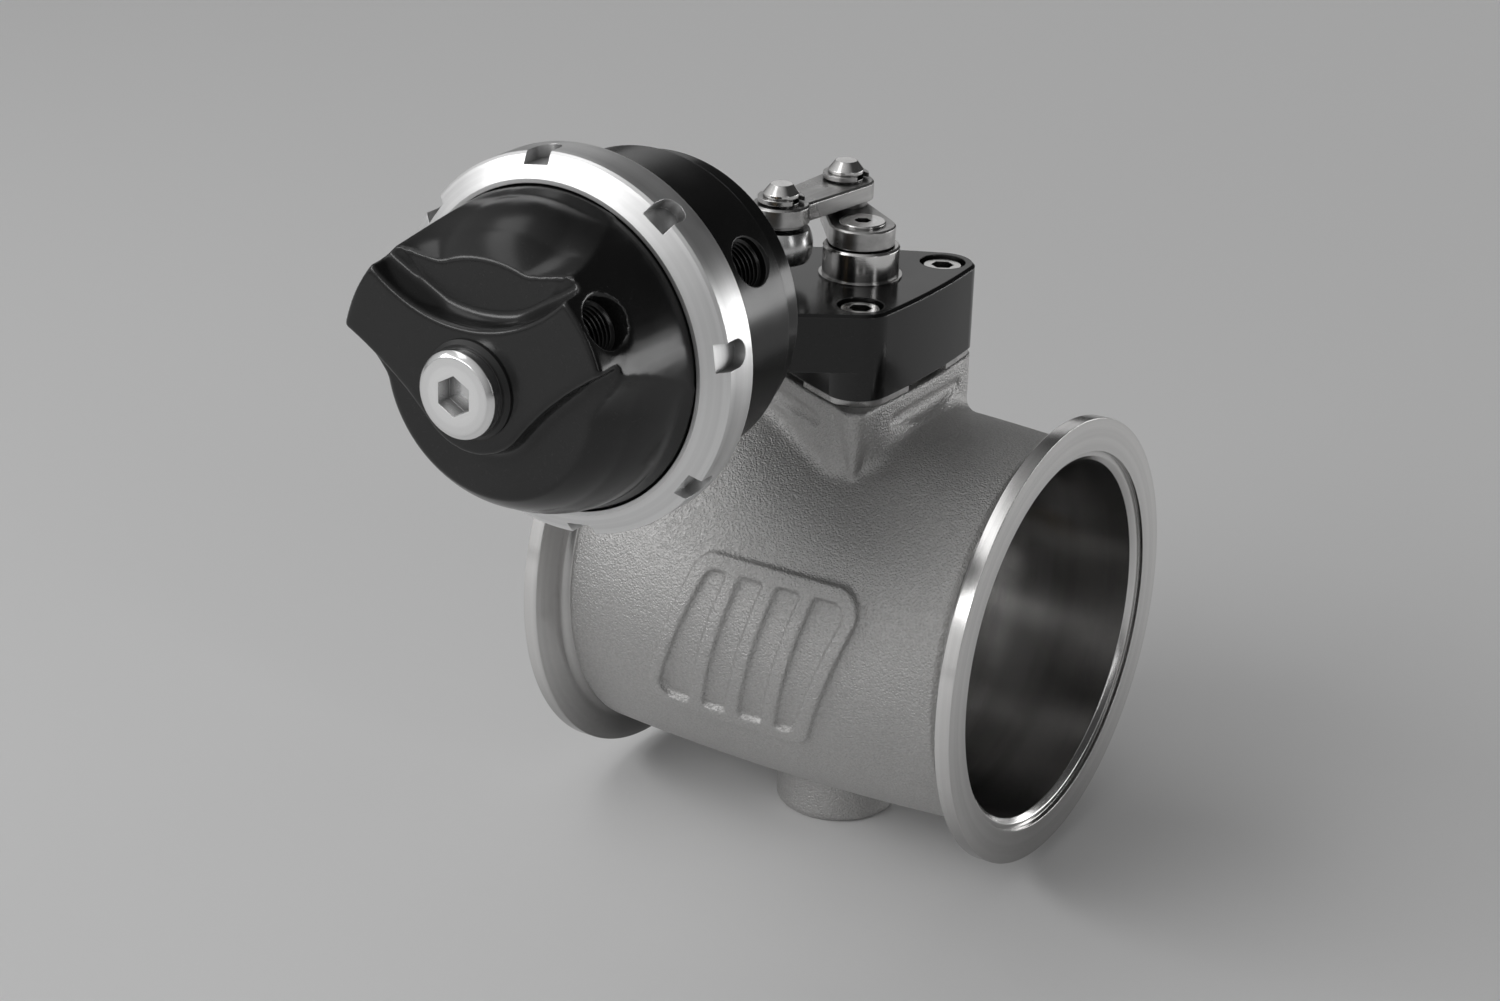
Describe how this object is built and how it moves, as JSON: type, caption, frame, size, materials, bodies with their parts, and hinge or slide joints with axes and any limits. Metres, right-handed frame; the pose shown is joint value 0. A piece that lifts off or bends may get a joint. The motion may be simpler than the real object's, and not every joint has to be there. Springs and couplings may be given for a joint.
{
  "type": "external wastegate valve",
  "caption": "Butterfly exhaust bypass valve with clamp flanges, a crank and link on top of its shaft, and a round spring-return piston actuator.",
  "frame": {"origin": "centre of the right-hand clamp flange's face, on the pipe's axis", "axes": "+X along the pipe, out of the right-hand flange; +Z along the butterfly shaft, up towards the crank; the actuator points towards -Y"},
  "size_m": [0.0975, 0.1635, 0.1584],
  "materials": {
    "cast_steel": "fine grit-blasted casting",
    "black_anodised": "satin black anodising",
    "silver_anodised": "turned and clear anodised",
    "piston_aluminium": "turned",
    "steel": "ground stainless steel",
    "plated_steel": "tumbled, plated steel",
    "spacer_steel": "brushed sheet",
    "spring_steel": "wound wire",
    "bronze": "sintered bronze",
    "black_rubber": "moulded"
  },
  "bodies": {
    "valve": {"valve_body": "cast_steel", "lower_bush": "bronze", "upper_bush": "steel", "shaft_seal": "black_rubber", "bonnet": "black_anodised", "bonnet_spacer": "spacer_steel", "bonnet_bolts": "steel", "actuator_housing": "black_anodised", "actuator_screws": "steel", "rod_guide": "bronze", "rod_seal": "black_rubber", "locking_collar": "silver_anodised", "actuator_cap": "black_anodised", "cap_plug": "steel", "plug_seal": "black_rubber", "cap_seal": "black_rubber", "return_spring": "spring_steel"},
    "butterfly": {"butterfly_shaft": "steel", "butterfly_plate": "steel", "butterfly_screws": "steel", "crank_arm": "plated_steel", "crank_screw": "plated_steel", "crank_pin": "steel", "crank_clip": "plated_steel", "crank_washer": "steel"},
    "link": {"link": "plated_steel", "rod_pin": "steel", "rod_clip": "plated_steel", "rod_washer": "steel"},
    "rod": {"actuator_rod": "steel", "rod_eye": "plated_steel", "jam_nut": "plated_steel", "piston": "piston_aluminium", "piston_seal": "black_rubber"}
  },
  "joints": [
    {"name": "valve_shaft", "type": "hinge", "parent": "valve", "child": "butterfly", "pos_m": [-0.04875, 0, 0], "axis": [0, 0, 1], "range_deg": [0, 75], "stiffness_Nm_per_rad": 0.06, "springref_deg": -55.58},
    {"name": "link_pivot", "type": "hinge", "parent": "butterfly", "child": "link", "pos_m": [-0.05831, 0.00946, 0.08], "axis": [0, 0, 1], "range_deg": [-65, 0]},
    {"name": "rod_slide", "type": "slide", "parent": "valve", "child": "rod", "axis": [0, -1, 0], "range_m": [0, 0.0163], "deforming": ["return_spring"]}
  ],
  "couplings": [
    {"joint": "link_pivot", "follows": "valve_shaft", "ratio": -0.86},
    {"joint": "rod_slide", "follows": "valve_shaft", "m_per_rad": 0.0124}
  ]
}
